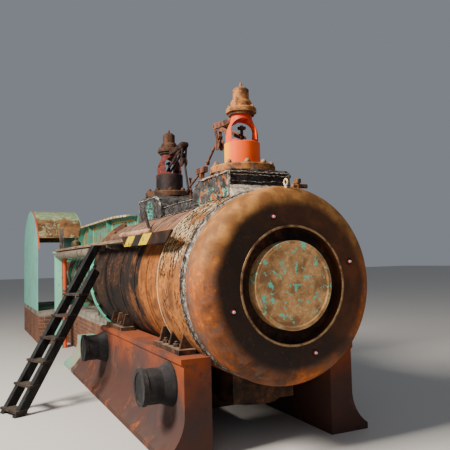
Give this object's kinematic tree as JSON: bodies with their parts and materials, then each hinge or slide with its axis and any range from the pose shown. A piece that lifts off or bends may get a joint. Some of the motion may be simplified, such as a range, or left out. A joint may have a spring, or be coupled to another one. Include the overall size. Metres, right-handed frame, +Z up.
{
  "type": "cylinder side of a horizontal steam winding engine",
  "caption": "Horizontal steam winding engine, cylinder side: clad cylinder with domed end, valve bonnets with trip gear, guide trunk, guard, walkway and ladder.",
  "frame": {"origin": "on the ground under the cylinder axis, midway between the two valve bonnets", "axes": "+X along the engine towards the domed cylinder end, -Y towards the walkway side, +Z up"},
  "size_m": [11.4831, 3.3239, 3.598],
  "materials": {
    "bed_paint": "orange-red bed paint, sooty, matt",
    "boards": "weathered boards",
    "brass": "dull brass",
    "chest_lagging": "grey-black lagged chest with rust and green paint",
    "dark_iron": "dark greasy iron",
    "dark_red_iron": "dark red oxide paint, worn",
    "fascia": "brown painted strip, yellow patches",
    "green_paint": "turquoise paint with cream edge, rust showing",
    "ladder_wood": "near-black stained timber",
    "masonry": "old engine-bed masonry and concrete, matt",
    "ochre_rust": "ochre rust, matt",
    "orange_drum": "bright orange-red primer, satin",
    "red_paint": "orange-red paint",
    "rusty_casing": "rusted sheet and castings, orange-brown, matt",
    "rusty_cladding": "sheet cladding, brown and tan, flaking",
    "torn_lagging": "torn grey-white and black lagging"
  },
  "bodies": {
    "engine": {"centre_cover": "rusty_casing", "chest_bridge": "chest_lagging", "cladding_bands": "rusty_cladding", "cylinder_barrel": "dark_iron", "cylinder_cover": "dark_iron", "end_casing": "rusty_casing", "end_post": "green_paint", "exhaust_branches": "dark_iron", "exhaust_chests": "dark_iron", "front_bonnet_flange": "ochre_rust", "front_cladding": "rusty_cladding", "front_dashpot": "ochre_rust", "front_feet": "dark_iron", "front_lantern": "orange_drum", "front_lever_bracket": "dark_iron", "front_steam_chest": "chest_lagging", "front_valve_drum": "orange_drum", "guard_cover": "green_paint", "guard_side_far": "green_paint", "guard_side_near": "green_paint", "guide_trunk": "green_paint", "hood_plinth": "masonry", "hood_sheet": "green_paint", "hood_side_far": "green_paint", "hood_side_near": "green_paint", "ladder_stiles": "ladder_wood", "ladder_treads": "ladder_wood", "lagging_strip": "torn_lagging", "lifting_eye": "brass", "platform_fascia": "fascia", "plinth_cross": "bed_paint", "plinth_far": "bed_paint", "plinth_near": "bed_paint", "rail_stanchion": "dark_iron", "rear_bonnet_flange": "ochre_rust", "rear_cladding": "rusty_cladding", "rear_dashpot": "ochre_rust", "rear_feet": "dark_iron", "rear_flange": "green_paint", "rear_lantern": "dark_red_iron", "rear_lever_bracket": "dark_iron", "rear_plinth": "masonry", "rear_steam_chest": "chest_lagging", "rear_valve_drum": "dark_iron", "red_pipe": "red_paint", "relief_cock": "brass", "trip_stands": "ochre_rust", "trunk_saddles": "green_paint", "valve_spindles": "dark_iron", "walkway_beam": "boards", "walkway_boards": "boards", "walkway_brackets": "dark_iron"},
    "front_lever": {"front_valve_lever": "dark_iron"},
    "rear_lever": {"rear_valve_lever": "dark_iron"},
    "front_rod": {"front_drop_rod": "ochre_rust"},
    "rear_rod": {"rear_drop_rod": "dark_iron"}
  },
  "joints": [
    {"name": "front_lever_pivot", "type": "hinge", "parent": "engine", "child": "front_lever", "pos_m": [0.53, 0, 3.27], "axis": [0, -1, 0], "range_deg": [0, 4]},
    {"name": "front_rod_pin", "type": "hinge", "parent": "front_lever", "child": "front_rod", "pos_m": [0.57, 0, 3.14], "axis": [0, -1, 0], "range_deg": [-4.5, 0.5]},
    {"name": "rear_lever_pivot", "type": "hinge", "parent": "engine", "child": "rear_lever", "pos_m": [-0.53, 0, 3.27], "axis": [0, 1, 0], "range_deg": [0, 4]},
    {"name": "rear_rod_pin", "type": "hinge", "parent": "rear_lever", "child": "rear_rod", "pos_m": [-0.57, 0, 3.14], "axis": [0, 1, 0], "range_deg": [-4.5, 0.5]}
  ],
  "couplings": [
    {"joint": "front_rod_pin", "follows": "front_lever_pivot", "ratio": -1},
    {"joint": "rear_rod_pin", "follows": "rear_lever_pivot", "ratio": -1}
  ]
}
